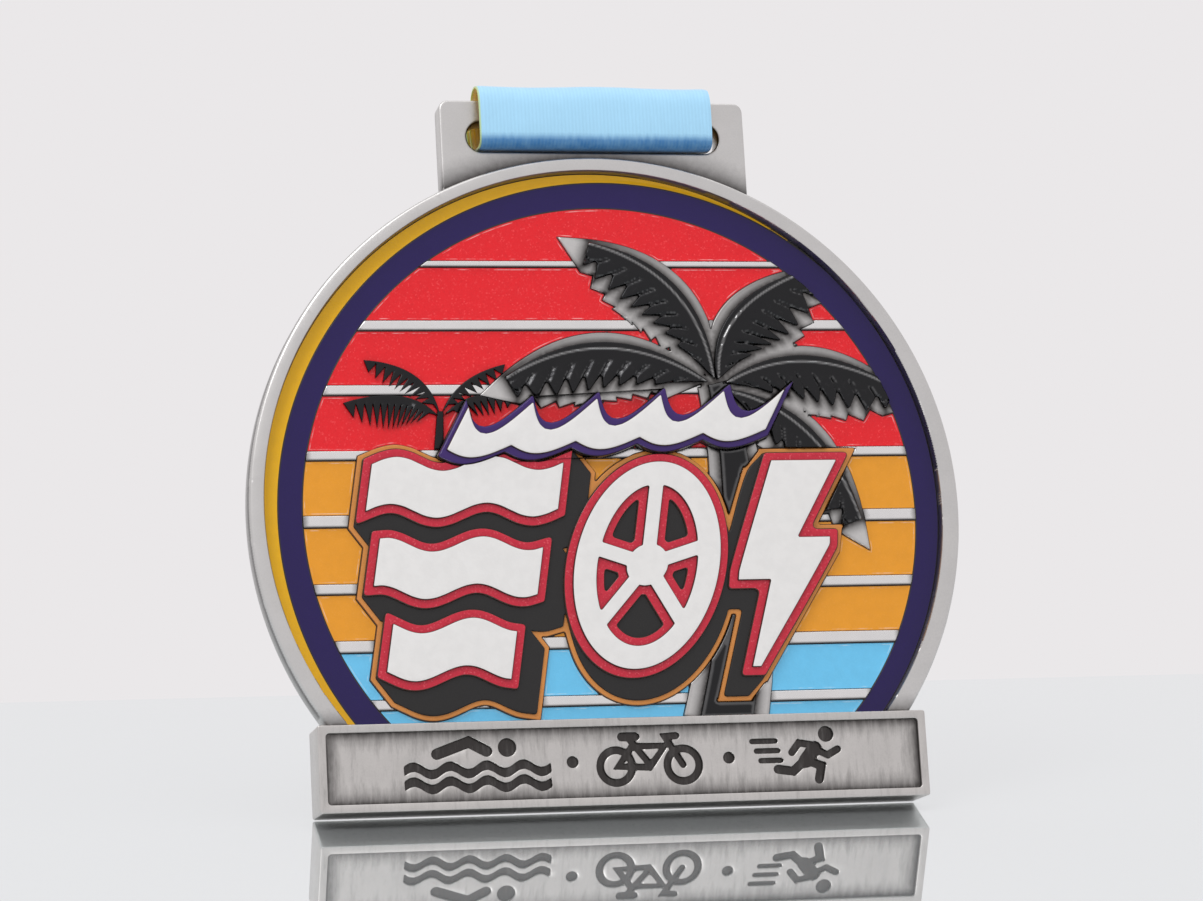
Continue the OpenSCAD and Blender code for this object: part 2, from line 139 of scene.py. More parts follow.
# ---------- materials ----------


def new_material(name):
    """A material with one Principled shader: the material, its node tree and the shader."""
    mat = bpy.data.materials.new(name)
    mat.use_nodes = True
    tree = mat.node_tree
    tree.nodes.clear()
    out = tree.nodes.new("ShaderNodeOutputMaterial")
    bsdf = tree.nodes.new("ShaderNodeBsdfPrincipled")
    tree.links.new(bsdf.outputs["BSDF"], out.inputs["Surface"])
    return mat, tree, bsdf


def node(tree, kind, **values):
    """A shader node with values on its inputs."""
    made = tree.nodes.new(kind)
    for key, value in values.items():
        made.inputs[key].default_value = value
    return made


def stretched(tree, axes):
    """Object coordinates scaled by a factor per axis."""
    mapping = node(tree, "ShaderNodeMapping", Scale=axes)
    tree.links.new(node(tree, "ShaderNodeTexCoord").outputs["Object"], mapping.inputs["Vector"])
    return mapping.outputs["Vector"]


def noise(tree, scale, detail=3.0, roughness=0.55, axes=(1, 1, 1)):
    """A noise value; scale is in waves per metre."""
    made = node(tree, "ShaderNodeTexNoise", Scale=scale, Detail=detail, Roughness=roughness)
    tree.links.new(stretched(tree, axes), made.inputs["Vector"])
    return made.outputs["Fac"]


def flakes(tree, scale):
    """A random value per small cell."""
    made = node(tree, "ShaderNodeTexVoronoi", Scale=scale)
    tree.links.new(stretched(tree, (1, 1, 1)), made.inputs["Vector"])
    return made.outputs["Color"]


def attribute(tree, name):
    """A value that the mesh carries at its points."""
    made = node(tree, "ShaderNodeAttribute")
    made.attribute_name = name
    return made.outputs["Fac"]


def remap(tree, value, low, high, to_low=0.0, to_high=1.0, smooth=True):
    """value taken from the range low to high into the range to_low to to_high, and clamped there."""
    made = node(tree, "ShaderNodeMapRange")
    made.interpolation_type = "SMOOTHSTEP" if smooth else "LINEAR"
    for key, number in (("From Min", low), ("From Max", high), ("To Min", to_low), ("To Max", to_high)):
        made.inputs[key].default_value = number
    tree.links.new(value, made.inputs["Value"])
    return made.outputs["Result"]


def math_node(tree, operation, *values):
    """An operation on values; each is a number or a socket."""
    made = node(tree, "ShaderNodeMath")
    made.operation = operation
    for socket, value in zip(made.inputs, values):
        if isinstance(value, (int, float)):
            socket.default_value = value
        else:
            tree.links.new(value, socket)
    return made.outputs[0]


def scaled(colour, factor):
    """The colour made darker by that factor."""
    return tuple(factor * c for c in colour)


def lifted(colour, factor, amount):
    """The colour times factor, made paler by amount."""
    return tuple(min(1.0, factor * c + amount) for c in colour)


def wave(tree, value, length):
    """A sine wave over value, with that wave length."""
    return math_node(tree, "SINE", math_node(tree, "MULTIPLY", value, 2 * math.pi / length))


def mix(tree, factor, a, b):
    """Mix two colours; each is a tuple or a socket."""
    made = node(tree, "ShaderNodeMix")
    made.data_type = "RGBA"
    for name, value in (("Factor_Float", factor), ("A_Color", a), ("B_Color", b)):
        socket = next(s for s in made.inputs if s.identifier == name)
        if isinstance(value, tuple):
            socket.default_value = (*value, 1)
        else:
            tree.links.new(value, socket)
    return next(s for s in made.outputs if s.identifier == "Result_Color")


def bump(tree, bsdf, height, strength, distance):
    """Small relief on the shader's normal; distance is in mm."""
    made = node(tree, "ShaderNodeBump", Strength=strength, Distance=distance * MM)
    tree.links.new(height, made.inputs["Height"])
    tree.links.new(made.outputs["Normal"], bsdf.inputs["Normal"])


# Dark of the patina, also used as the painted shade under the raised lines.
PATINA_AND_SHADE = (0.035, 0.031, 0.030)
WALL = (0.035, 0.030, 0.030)


def silver(name, base, roughness=0.34, grain=0.10, dark=PATINA_AND_SHADE, streaks=None, blotch=0.07):
    """Antique silver: satin plating with a fine blasted grain, and a dark colour where the mesh's "dark"
    value is high: patina in the hollows and painted shade under the raised lines; where the value is
    low on the palms it leaves painted highlights. streaks is a stretch per axis for brush marks that
    break the patina up."""
    mat, tree, bsdf = new_material(name)
    fine = noise(tree, 5200, 2)
    tone = mix(tree, remap(tree, noise(tree, 260), 0.3, 0.7, 0, 0.35), base, scaled(base, 0.88))
    tone = mix(tree, remap(tree, fine, 0.35, 0.75, 0, grain), tone, scaled(base, 0.62))
    marks = noise(tree, 1400, 4, 0.7, streaks or (1, 1, 1))
    uneven = remap(tree, marks, 0.25, 0.75, -blotch, blotch, smooth=False)
    # The mesh's "dark" value: patina, painted shade under the raised lines, and low where the palms get
    # painted highlights.
    depth = math_node(tree, "ADD", attribute(tree, "dark"), uneven)
    tone = mix(tree, remap(tree, depth, 0.12, 0.95, 0, 0.96, smooth=False), tone, dark)
    if streaks:
        tone = mix(tree, remap(tree, marks, 0.45, 0.8, 0, 0.30), tone, scaled(base, 0.45))
    tree.links.new(tone, bsdf.inputs["Base Color"])
    bsdf.inputs["Metallic"].default_value = 1.0
    sheen = remap(tree, fine, 0.3, 0.7, roughness - 0.05, roughness + 0.08)
    tree.links.new(sheen, bsdf.inputs["Roughness"])
    bump(tree, bsdf, marks if streaks else fine, 0.25, 0.02)
    return mat


def glittered(tree, tone, colour, amount):
    """tone with fine metal flakes, some brighter and some duller than the colour."""
    flake = flakes(tree, 5200)
    tone = mix(tree, remap(tree, flake, 0.72, 0.95, 0, amount), tone, lifted(colour, 1.2, 0.12))
    return mix(tree, remap(tree, flake, 0.28, 0.08, 0, amount), tone, scaled(colour, 0.72))


def painted_bead_highlight(tree, tone, colour, edge, amount):
    """tone with a painted highlight: a broken bright line where the fill climbs its wall."""
    broken = remap(tree, noise(tree, 420, 3, 0.6), 0.46, 0.66, 0, amount)
    rise = remap(tree, edge, 0.20, 0.27, 0, 1)
    fall = remap(tree, edge, 0.29, 0.38, 1, 0)
    line = math_node(tree, "MULTIPLY", rise, fall)
    return mix(tree, math_node(tree, "MULTIPLY", line, broken), tone, lifted(colour, 0.35, 0.62))


def enamel(name, colour, roughness=0.14, glitter=0, wall=WALL, wall_w=0.07, peel=0.05, speck=0.04, bead=0):
    """Soft enamel: a glossy fill with a faint orange-peel surface, and the darkened metal of the cell's
    wall at its edge, wall_w mm wide. bead is the strength of a painted highlight line inside the wall."""
    mat, tree, bsdf = new_material(name)
    tone = mix(tree, remap(tree, noise(tree, 700), 0.3, 0.7, 0, 0.5), colour, scaled(colour, 0.92))
    tone = mix(tree, remap(tree, noise(tree, 9000, 1), 0.45, 0.8, 0, speck), tone, lifted(colour, 1, 0.25))
    if glitter:
        tone = glittered(tree, tone, colour, glitter)
    if wall_w:
        edge = attribute(tree, "edge")
        # bead: a painted highlight line along the enamel's meniscus.
        if bead:
            tone = painted_bead_highlight(tree, tone, colour, edge, bead)
        tone = mix(tree, remap(tree, edge, wall_w, wall_w + 0.04, 1, 0), tone, wall)
    tree.links.new(tone, bsdf.inputs["Base Color"])
    bsdf.inputs["Roughness"].default_value = roughness
    bsdf.inputs["Specular IOR Level"].default_value = 0.32
    bump(tree, bsdf, noise(tree, 1500, 2), 0.35, peel)
    return mat


# ---------- relief pieces: closed meshes over the outlines of flat CAD nodes ----------


def level_loops(name, level=None, tolerance=0.01):
    """The closed outlines of a CAD node's faces at one Y level, as (x, z) arrays, and the node's front
    and back levels. The level is the front one unless it is given."""
    mesh = NODES[name].data
    co = np.array([v.co[:] for v in mesh.vertices]) / MM
    front, back = co[:, 1].min(), co[:, 1].max()
    level = front if level is None else level
    keys, index = {}, []
    for p in co:
        index.append(keys.setdefault((round(p[0], 3), round(p[1], 3), round(p[2], 3)), len(keys)))
    spot = {i: k for k, i in keys.items()}
    uses = {}
    for poly in mesh.polygons:
        ids = [index[i] for i in poly.vertices]
        if all(abs(spot[i][1] - level) < tolerance for i in ids) and len(set(ids)) > 2:
            for a, b in zip(ids, ids[1:] + ids[:1]):
                uses[(a, b)] = uses.get((a, b), 0) + 1
    follow = {}
    for a, b in uses:
        if (b, a) not in uses:
            follow.setdefault(a, []).append(b)
    loops = []
    while follow:
        start = next(iter(follow))
        loop, at = [start], start
        while True:
            after = follow[at].pop()
            if not follow[at]:
                del follow[at]
            if after == start or after not in follow:
                break
            loop.append(after)
            at = after
        if len(loop) > 2:
            loops.append(np.array([(spot[i][0], spot[i][2]) for i in loop]))
    return loops, front, back


def softened(loop, r, corner=math.radians(24)):
    """The loop with each sharp corner rounded to about radius r."""
    out = []
    n = len(loop)
    for i in range(n):
        a, b, c = loop[i - 1], loop[i], loop[(i + 1) % n]
        u, v = a - b, c - b
        lu, lv = np.hypot(*u), np.hypot(*v)
        turn = math.pi - math.acos(np.clip((u @ v) / max(lu * lv, 1e-9), -1, 1))
        if turn < corner:
            out.append(b)
            continue
        cut = min(r * math.tan(turn / 2), 0.45 * lu, 0.45 * lv, 2 * r)
        p, q = b + u / lu * cut, b + v / lv * cut
        steps = max(4, int(turn / math.radians(14)))
        out += [(1 - t) ** 2 * p + 2 * t * (1 - t) * b + t * t * q for t in np.linspace(0, 1, steps + 1)]
    return np.array(out)


def resampled(loop, step, corner=math.radians(24)):
    """The loop with points about step apart: corners stay, and what runs smoothly between them is
    rounded."""
    keep = [loop[0]]
    for p in loop[1:]:
        if np.hypot(*(p - keep[-1])) > 0.01:
            keep.append(p)
    if np.hypot(*(keep[0] - keep[-1])) < 0.01:
        keep.pop()
    loop = np.array(keep)
    n = len(loop)
    ahead = np.roll(loop, -1, 0) - loop
    behind = loop - np.roll(loop, 1, 0)
    cross = behind[:, 0] * ahead[:, 1] - behind[:, 1] * ahead[:, 0]
    sharp = np.abs(np.arctan2(cross, (behind * ahead).sum(1))) > corner
    out = []
    for i in range(n):
        b, c = loop[i], loop[(i + 1) % n]
        length = np.hypot(*(c - b))
        a = loop[i - 1] if not sharp[i] else 2 * b - c
        d = loop[(i + 2) % n] if not sharp[(i + 1) % n] else 2 * c - b
        tb = (c - a) / max(np.hypot(*(b - a)) + length, 1e-9) * length
        tc = (d - b) / max(np.hypot(*(d - c)) + length, 1e-9) * length
        count = max(1, int(round(length / step)))
        for k in range(count):
            t = k / count
            out.append(
                (2 * t**3 - 3 * t**2 + 1) * b
                + (t**3 - 2 * t**2 + t) * tb
                + (3 * t**2 - 2 * t**3) * c
                + (t**3 - t**2) * tc
            )
    return np.array(out)


def inside(points, loops, chunk=4000):
    """Which points are inside the outlines, by the even-odd rule; chunk points at a time, to save
    memory."""
    hit = np.zeros(len(points), bool)
    for loop in loops:
        a, b = loop, np.roll(loop, -1, 0)
        for start in range(0, len(points), chunk):
            p = points[start : start + chunk]
            z = p[:, 1:2]
            span = (a[:, 1] > z) != (b[:, 1] > z)
            rise = np.where(np.abs(b[:, 1] - a[:, 1]) < 1e-12, 1e-12, b[:, 1] - a[:, 1])
            x = a[:, 0] + (z - a[:, 1]) * (b[:, 0] - a[:, 0]) / rise
            hit[start : start + chunk] ^= (span & (p[:, 0:1] < x)).sum(1) % 2 == 1
    return hit


def edge_distance(points, loops):
    """Distance of each point to the nearest outline: the outlines stand as walls in a search tree."""
    if not len(points):
        return np.zeros(0)
    walls, faces = [], []
    for loop in loops:
        base, n = len(walls), len(loop)
        walls += [(x, z, level) for level in (0.0, 1.0) for x, z in loop]
        faces += [(base + i, base + (i + 1) % n, base + n + (i + 1) % n, base + n + i) for i in range(n)]
    tree = BVHTree.FromPolygons(walls, faces)
    return np.array([tree.find_nearest((x, z, 0.5))[3] for x, z in points.tolist()])


def inner_ring(loop, d):
    """Points at distance d to the left of the loop's run, mitred at its corners."""
    ahead = np.roll(loop, -1, 0) - loop
    ahead /= np.maximum(np.hypot(ahead[:, 0], ahead[:, 1])[:, None], 1e-9)
    behind = np.roll(ahead, 1, 0)
    left_a = np.stack([-ahead[:, 1], ahead[:, 0]], 1)
    left_b = np.stack([-behind[:, 1], behind[:, 0]], 1)
    total = left_a + left_b
    return loop + d * total / np.maximum(0.5, 1 + (left_a * left_b).sum(1))[:, None]


def beside(line, d, rounds):
    """Points at distance d on both sides of a closed line, as far as they are inside the outlines."""
    both = np.concatenate([inner_ring(line, d), inner_ring(line, -d)])
    return both[inside(both, rounds)]


# Half the width of the strip of mesh that makes a steep wall between two levels.
CREASE = 0.02


def filled(loops, rings, lattice, step=0.3, creases=(), crease_rings=(CREASE,)):
    """A flat triangle mesh inside the outlines: its points, its triangles, its smoothed outlines and
    each point's distance to them. Rings are distances at which its points follow the outlines; creases
    are inner lines that they follow on both sides, at the distances in crease_rings; the rest is a
    lattice."""
    edges_at, base, points = [], 0, []
    rounds = [resampled(loop, step) for loop in loops]
    folds = [resampled(loop, step) for loop in creases]
    for r in rounds:
        points.append(r)
        edges_at += [(base + i, base + (i + 1) % len(r)) for i in range(len(r))]
        base += len(r)
    extra = []
    for d in rings:
        for r in rounds:
            both = beside(r, d, rounds)
            extra.append(both[edge_distance(both, rounds) > 0.96 * d])
    for d in crease_rings:
        for k, r in enumerate(folds):
            both = beside(r, d, rounds)
            far = (edge_distance(both, folds) > 0.9 * d) & (edge_distance(both, rounds) > 0.04)
            if k:
                far &= edge_distance(both, folds[:k]) > 0.05
            extra.append(both[far])
    low = np.min([r.min(0) for r in rounds], 0)
    high = np.max([r.max(0) for r in rounds], 0)
    # Every second row is half a pitch aside, which makes the lattice's triangles equilateral.
    xs = np.arange(low[0], high[0], lattice)
    zs = np.arange(low[1], high[1], lattice * 0.866)
    grid = np.array([(x + (j % 2) * lattice / 2, z) for j, z in enumerate(zs) for x in xs]).reshape(-1, 2)
    grid = grid[inside(grid, rounds)] if len(grid) else grid
    if len(grid):
        margin = max([0.0, *rings]) + 0.45 * lattice
        grid = grid[edge_distance(grid, rounds) > margin]
        if folds and len(grid):
            grid = grid[edge_distance(grid, folds) > max(crease_rings) + 0.45 * lattice]
        extra.append(grid)
    every = np.concatenate(points + [e for e in extra if len(e)])
    flat = geometry.delaunay_2d_cdt([Vector(p) for p in every], edges_at, [], 0, 1e-6)
    verts = np.array([v[:] for v in flat[0]])
    tris = np.array([f for f in flat[2] if len(f) == 3])
    centre = verts[tris].mean(1)
    tris = tris[inside(centre, rounds)]
    p, q, r = verts[tris[:, 0]], verts[tris[:, 1]], verts[tris[:, 2]]
    area = (q[:, 0] - p[:, 0]) * (r[:, 1] - p[:, 1]) - (q[:, 1] - p[:, 1]) * (r[:, 0] - p[:, 0])
    tris[area < 0] = tris[area < 0][:, ::-1]
    tris = tris[np.abs(area) > 1e-10]
    used = np.unique(tris)
    renumber = np.full(len(verts), -1)
    renumber[used] = np.arange(len(used))
    verts, tris = verts[used], renumber[tris]
    d = edge_distance(verts, rounds)
    d[d < 1e-4] = 0
    return verts, tris, rounds, d


def mesh_object(name, verts, faces, mat, sharp=50):
    """An object from points in mm, smooth where its faces meet at less than sharp degrees."""
    mesh = bpy.data.meshes.new(name)
    mesh.from_pydata((np.asarray(verts) * MM).tolist(), [], [list(map(int, f)) for f in faces])
    mesh.validate()
    mesh.polygons.foreach_set("use_smooth", [True] * len(mesh.polygons))
    mesh.update()
    mesh.set_sharp_from_angle(angle=math.radians(sharp))
    mesh.materials.append(mat)
    work = bmesh.new()
    work.from_mesh(mesh)
    if work.calc_volume(signed=True) < 0:
        mesh.flip_normals()
    work.free()
    return linked(name, mesh)


def add_value(piece, name, values):
    """A value at each point of the mesh, for its material."""
    layer = piece.data.attributes.new(name, "FLOAT", "POINT")
    layer.data.foreach_set("value", np.asarray(values).astype(np.float32))


def closed_mesh(name, mat, verts, tris, front_y, back_y, values):
    """A closed mesh between two height maps over the same triangles, with named values at its points."""
    n = len(verts)
    front_co = np.stack([verts[:, 0], front_y, verts[:, 1]], 1)
    back_co = np.stack([verts[:, 0], back_y, verts[:, 1]], 1)
    sides = {(t[i], t[(i + 1) % 3]) for t in tris.tolist() for i in range(3)}
    rim = sorted((a, b) for a, b in sides if (b, a) not in sides)
    faces = [tuple(t) for t in tris] + [(t[0] + n, t[2] + n, t[1] + n) for t in tris]
    faces += [(a, a + n, b + n, b) for a, b in rim]
    made = mesh_object(name, np.concatenate([front_co, back_co]), faces, mat)
    for key, sides_values in values.items():
        add_value(made, key, np.concatenate(sides_values))
    return made


def stands_for(piece, cad, body="medal"):
    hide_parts(cad)
    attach(piece, body)


def relief(name, cad, mat, height, rings=(), lattice=1.2, step=0.3, corner_r=0.0, facts=None):
    """A closed piece that stands for a flat CAD node. height(points, d, front) gives its front's Y
    level from the points and their distance d to the outline; facts(points, d) gives named values for
    its material."""
    loops, front, back = level_loops(cad)
    if corner_r:
        loops = [softened(loop, corner_r) for loop in loops]
    verts, tris, _, d = filled(loops, rings, lattice, step)
    values = {"edge": (d, np.zeros(len(d)))}
    for key, value in (facts(verts, d) if facts else {}).items():
        values[key] = (value, value)
    made = closed_mesh(name, mat, verts, tris, height(verts, d, front), np.full(len(d), back), values)
    stands_for(made, cad)


def rounded_edge(d, r):
    """How far a rounded edge of radius r falls below the top, at distance d from the outline."""
    t = np.clip(1 - d / r, 0, 1)
    return r * (1 - np.sqrt(np.clip(1 - t * t, 0, 1)))


def bevelled(r):
    """A flat top whose edge is rounded to radius r."""
    return lambda p, d, front: front + rounded_edge(d, r)


def meniscus(dip, reach=0.45, lip=0.04):
    """Enamel that climbs its cell's wall: highest at the wall, lower by dip in the middle."""
    return lambda p, d, front: front + dip * (1 - np.exp(-d / reach)) + rounded_edge(d, lip)


def make_enamels():
    """The enamel fills of the bands, the crescent and the ring."""
    red, orange, blue = (0.80, 0.012, 0.020), (0.82, 0.33, 0.022), (0.16, 0.58, 0.90)
    rings = (0.04, 0.12, 0.24, 0.42, 0.7, 1.1)
    kinds = {
        # bead: strength of each enamel's painted highlight line along its walls.
        "red_enamel": enamel("red_enamel", red, glitter=0.28, peel=0.10, bead=0.55),
        "orange_enamel": enamel("orange_enamel", orange, glitter=0.06, bead=0.5),
        "blue_enamel": enamel("blue_enamel", blue, glitter=0.05, bead=0.6),
        "yellow_enamel": enamel("yellow_enamel", (0.86, 0.46, 0.008)),
        "navy_enamel": enamel("navy_enamel", (0.016, 0.007, 0.085), speck=0.01),
    }
    cells_of = {
        "red_enamel": [f"red_band_{k}" for k in range(1, 5)],
        "orange_enamel": [f"orange_band_{k}" for k in range(1, 4)],
        "blue_enamel": ["blue_band_1", "blue_band_2"],
        "yellow_enamel": ["yellow_crescent"],
        "navy_enamel": ["navy_ring"],
    }
    for slot_name, cads in cells_of.items():
        for cad in cads:
            relief(f"{cad}_fill", cad, kinds[slot_name], meniscus(0.14), rings)


def make_emblems():
    """The emblems, the flourish and the plateaus under them."""
    wall = (0.05, 0.028, 0.022)
    white = enamel("white_enamel", (0.80, 0.79, 0.775), roughness=0.32, wall=wall, wall_w=0.07, speck=0.0)
    outline = enamel("outline_enamel", (0.58, 0.022, 0.048), glitter=0.45, wall=wall, wall_w=0.13)
    shade = enamel("black_enamel", (0.018, 0.017, 0.017), roughness=0.30, wall_w=0, speck=0.03)
    keyline = enamel("keyline_enamel", (0.66, 0.26, 0.06), glitter=0.1, wall=(0.16, 0.08, 0.04), wall_w=0.05)
    navy = enamel("swash_enamel", (0.045, 0.018, 0.14), wall_w=0.05, speck=0.02)
    relief(
        "keyline_plateau", "emblem_keyline", keyline, bevelled(0.2),
        (0.05, 0.1, 0.2), 2.0, corner_r=0.3,
    )
    relief(
        "shade_plateau", "emblem_shade", shade, bevelled(0.2),
        (0.05, 0.1, 0.2, 0.4), 1.5, corner_r=0.45,
    )
    for kind in ("wave", "wheel", "bolt"):
        relief(
            f"{kind}_rim", f"{kind}_outline", outline, bevelled(0.24),
            (0.06, 0.14, 0.24, 0.5), 1.5, corner_r=0.6,
        )
        relief(
            f"{kind}_top", f"{kind}_face", white, bevelled(0.16),
            (0.04, 0.09, 0.16, 0.5), 1.5, corner_r=0.15,
        )
    relief(
        "swash_edge", "swash_outline", navy, bevelled(0.35),
        (0.08, 0.2, 0.35, 0.5), 1.2, corner_r=0.3,
    )
    relief(
        "swash_top", "swash_face", white, bevelled(0.3),
        (0.08, 0.18, 0.3), 1.2, corner_r=0.2,
    )


# ---------- palms ----------

# Base, control point and tip of each ridge round the disc's centre, its width and its leaflets, as in
# the CAD.
FRONDS = [
    ((14.3, 16.2), (12.8, 30.2), (-0.9, 33.9), 5.4, 10),
    ((15.0, 16.2), (14.5, 25.8), (27.5, 30.4), -6.4, 9),
    ((13.6, 15.8), (1.0, 24.5), (-12.3, 16.6), 5.4, 10),
    ((15.7, 15.7), (26.0, 21.8), (38.0, 15.0), -5.4, 9),
    ((15.6, 14.9), (27.8, 12.4), (32.2, -1.8), -4.6, 8),
]
DISC_Z = 37.0


def along_ridge(points, frond):
    """Each point's place along a frond's ridge, 0 to 1, and its distance towards the leaflets."""
    a, b, c, width, _ = frond
    a, b, c = (np.array(v) + (0, DISC_Z) for v in (a, b, c))
    s = np.linspace(0, 1, 240)[:, None]
    line = (1 - s) ** 2 * a + 2 * s * (1 - s) * b + s * s * c
    run = np.gradient(line, axis=0)
    run /= np.hypot(run[:, 0], run[:, 1])[:, None]
    nearest = np.argmin(((points[:, None, :] - line) ** 2).sum(2), 1)
    gap = points - line[nearest]
    side = -run[nearest, 1] * gap[:, 0] + run[nearest, 0] * gap[:, 1]
    return s[nearest, 0], side * np.sign(width)


def leaflets(points, frond):
    """Where a point lies on a frond: ridge is 1 on the ridge, groove is 1 between two leaflets, dome is
    1 on the middle of a leaflet."""
    s, t = along_ridge(points, frond)
    wide = abs(frond[3]) * (0.25 + 0.75 * np.sin(np.pi * (1 - s) ** 0.8) ** 0.7)
    across = t / wide
    phase = frond[4] * s - 0.40 - 1.5 * (across - 0.6)
    offset = (phase + 0.5) % 1 - 0.5
    started = np.clip((across - 0.20) / 0.12, 0, 1)
    groove = np.exp(-((offset / 0.13) ** 2)) * started
    dome = (1 - (2 * np.abs(np.abs(offset) - 0.5)) ** 2) * started
    ridge = np.exp(-(((t + 0.02) / 0.13) ** 2))
    return ridge, groove, dome


def frond_height(frond):
    """The ridge stands highest; the leaflets fall away from it, with a groove between each two."""

    def height(points, d, front):
        ridge, groove, dome = leaflets(points, frond)
        sunk = 0.14 * (1 - ridge) + 0.22 * groove - 0.10 * dome
        return front + np.clip(sunk, 0, 0.4) + rounded_edge(d, 0.22)

    return height


def frond_facts(frond):
    """Patina everywhere, with a painted highlight along the ridge and on the leaflets' domes, and painted
        glints along the leaflets' edges.
    """

    def facts(points, d):
        ridge, groove, dome = leaflets(points, frond)
        # tip marks the painted glints; ridge and dome lighten the painted highlights.
        tip = np.exp(-((groove - 0.55) / 0.16) ** 2)
        return {"dark": np.clip(1.0 - 0.62 * ridge - 0.05 * dome - 0.20 * tip, 0, 1)}

    return facts


def make_palms():
    """The palms in black antique plating and the silver plateau behind the large one."""
    ink = (0.014, 0.014, 0.0155)
    black = silver("antique_black", (0.42, 0.42, 0.42), roughness=0.24, grain=0.04, dark=ink, blotch=0.02)
    halo = silver("shaded_silver", (0.62, 0.61, 0.60), blotch=0.03)
    outlines = []
    for k, frond in enumerate(FRONDS, 1):
        name = f"palm_frond_{k}"
        relief(
            f"{name}_relief", name, black, frond_height(frond),
            (0.05, 0.12, 0.22), 0.24, 0.22, corner_r=0.3, facts=frond_facts(frond),
        )
        outlines += level_loops(name)[0]

    def trunk_dark_with_edge_highlight(points, d):
        # Dark all over but for a painted highlight line along the rounded edge.
        return {"dark": np.clip(0.97 - 0.25 * np.exp(-((d - 0.25) / 0.12) ** 2), 0, 1)}

    relief(
        "palm_trunk_relief", "palm_trunk", black, bevelled(0.3),
        (0.06, 0.15, 0.3, 0.6), 0.6, facts=trunk_dark_with_edge_highlight,
    )
    outlines += level_loops("palm_trunk")[0]
    relief(
        "small_palm_relief", "small_palm", black, bevelled(0.14), (0.05, 0.14), 0.8, 0.2,
        facts=lambda points, d: {"dark": np.full(len(d), 0.97)},
    )

    def halo_dark(points, d):
        """Patina beside the fronds and the trunk, and at the plateau's edge."""
        near = edge_distance(points, outlines)
        return {"dark": 0.95 * np.exp(-((near / 0.95) ** 1.3)) + 0.35 * np.exp(-((d / 0.25) ** 2))}

    relief(
        "halo_plateau", "palm_halo", halo, bevelled(0.2), (0.05, 0.1, 0.2, 0.5), 0.45,
        facts=halo_dark,
    )


# ---------- cast metal ----------


def signed(points, loops):
    """Distance to the outlines, positive inside them."""
    d = edge_distance(points, loops)
    return np.where(inside(points, loops), d, -d)


def step_down(s, depth, r):
    """The fall from an upper level to a lower one that lies inside an outline, with a rounded upper
    edge: s is the signed distance, positive on the lower side."""
    wall = np.clip((s + CREASE) / (2 * CREASE), 0, 1) * depth
    return np.maximum(wall, rounded_edge(-s - CREASE, r) * (s < CREASE))


def make_stripes():
    """The raised metal lines between the bands."""
    bright = silver("bright_silver", (0.80, 0.79, 0.785), roughness=0.26, grain=0.04, blotch=0.03)
    loops = level_loops("stripe_bars")[0]

    def stripe_shade_and_patina(points, d):
        """Painted shade along the lower edge of each raised line, and patina at its ends."""
        dark = np.zeros(len(points))
        for loop in loops:
            low, high = loop.min(0), loop.max(0)
            within = ((points > low - 0.05) & (points < high + 0.05)).all(1)
            # under: painted shade along the line's lower edge; ends: patina where the line stops.
            under = np.exp(-(((points[:, 1] - low[1]) / 0.22) ** 2))
            reach = np.minimum(points[:, 0] - low[0], high[0] - points[:, 0])
            ends = 0.7 * np.exp(-((np.maximum(reach, 0) / 0.6) ** 2))
            dark = np.where(within, np.maximum(dark, np.maximum(under, ends)), dark)
        return {"dark": dark}

    relief(
        "stripe_lines", "stripe_bars", bright, bevelled(0.12), (0.05, 0.12, 0.3), 0.6,
        facts=stripe_shade_and_patina,
    )


